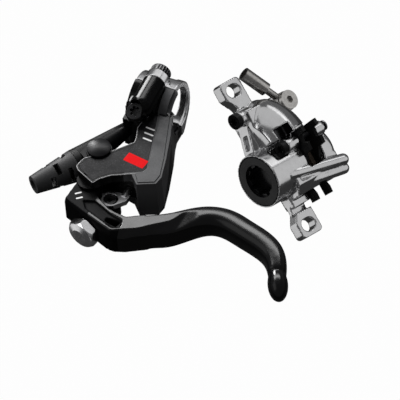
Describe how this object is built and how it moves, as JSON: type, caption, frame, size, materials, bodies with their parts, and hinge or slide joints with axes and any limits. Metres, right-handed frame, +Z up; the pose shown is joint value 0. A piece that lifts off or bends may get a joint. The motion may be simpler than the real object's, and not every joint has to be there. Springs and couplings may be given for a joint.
{
  "type": "hydraulic disc brake",
  "caption": "Handlebar brake lever with its own master cylinder, and the post-mount caliper it feeds, whose two pistons close a pair of pads on a rotor.",
  "frame": {"origin": "centre of the handlebar clamp, on the bar's axis", "axes": "+X along the handlebar towards the blade's tip, +Y rearward to the rider, +Z up"},
  "size_m": [0.1435, 0.151, 0.1038],
  "materials": {
    "composite_black": "satin fibre composite",
    "cover_black": "fine speckle",
    "guard_grey": "satin dark grey",
    "seal_rubber": "soft",
    "silver": "polished",
    "black_steel": "black oxide",
    "plug_grey": "satin",
    "boot_rubber": "matte",
    "dark_alloy": "gunmetal",
    "brass": "turned",
    "blade_black": "satin anodised",
    "bush_polymer": "smooth",
    "steel": "ground",
    "silver_satin": "satin",
    "piston_alloy": "hard anodised",
    "chrome_body": "polished",
    "cap_black": "smooth black",
    "pad_black": "matte coated",
    "lining": "sintered"
  },
  "bodies": {
    "fixed": {"master_housing": "composite_black", "reservoir_cover": "cover_black", "corner_guard": "guard_grey", "diaphragm": "seal_rubber", "clamp_hoop": "silver", "clamp_screws": "black_steel", "bleed_screw": "black_steel", "port_plug": "plug_grey", "guide_screw": "black_steel", "hose_boot": "boot_rubber", "sleeve_nut": "dark_alloy", "olive": "brass", "hose_barb": "brass", "pivot_pin": "steel", "return_spring": "steel", "circlip": "steel", "dust_wiper": "seal_rubber", "caliper_body": "chrome_body", "cylinder_cap": "cap_black", "cap_seal": "seal_rubber", "outer_square_seal": "seal_rubber", "inner_square_seal": "seal_rubber", "pad_pin": "black_steel", "pin_clip": "steel", "banjo_bolt": "dark_alloy", "banjo_fitting": "dark_alloy", "banjo_washers": "brass", "bleed_cap": "black_steel"},
    "blade": {"lever_blade": "blade_black", "pivot_bushes": "bush_polymer", "trunnion": "black_steel"},
    "adjuster": {"adjuster_knob": "silver_satin", "adjuster_spindle": "steel"},
    "rod": {"push_rod": "steel", "master_piston": "piston_alloy", "secondary_seal": "seal_rubber", "primary_seal": "seal_rubber"},
    "outer_pad": {"outer_piston": "piston_alloy", "outer_magnet": "steel", "outer_pad_plate": "pad_black", "outer_pad_lining": "lining"},
    "inner_pad": {"inner_piston": "piston_alloy", "inner_magnet": "steel", "inner_pad_plate": "pad_black", "inner_pad_lining": "lining"}
  },
  "joints": [
    {"name": "lever_pivot", "type": "hinge", "parent": "fixed", "child": "blade", "pos_m": [-0.01, -0.0572, -0.0059], "axis": [0, 0, 1], "range_deg": [0, 18], "stiffness_Nm_per_rad": 0.35, "springref_deg": -14.32},
    {"name": "rod_slide", "type": "slide", "parent": "fixed", "child": "rod", "axis": [0, 1, 0], "range_m": [0, 0.00403], "deforming": ["return_spring"]},
    {"name": "adjuster_turn", "type": "hinge", "parent": "blade", "child": "adjuster", "pos_m": [0.0023, -0.0618, -0.0076], "axis": [-0.262, -0.9651, 0], "range_deg": [-180, 180]},
    {"name": "outer_piston_slide", "type": "slide", "parent": "fixed", "child": "outer_pad", "axis": [0.3116, 0.9094, -0.2753], "range_m": [0, 0.0004246]},
    {"name": "inner_piston_slide", "type": "slide", "parent": "fixed", "child": "inner_pad", "axis": [-0.3116, -0.9094, 0.2753], "range_m": [0, 0.0004246]}
  ],
  "couplings": [
    {"joint": "rod_slide", "follows": "lever_pivot", "m_per_rad": 0.012827},
    {"joint": "outer_piston_slide", "follows": "lever_pivot", "m_per_rad": 0.0013252},
    {"joint": "inner_piston_slide", "follows": "lever_pivot", "m_per_rad": 0.0013252}
  ]
}
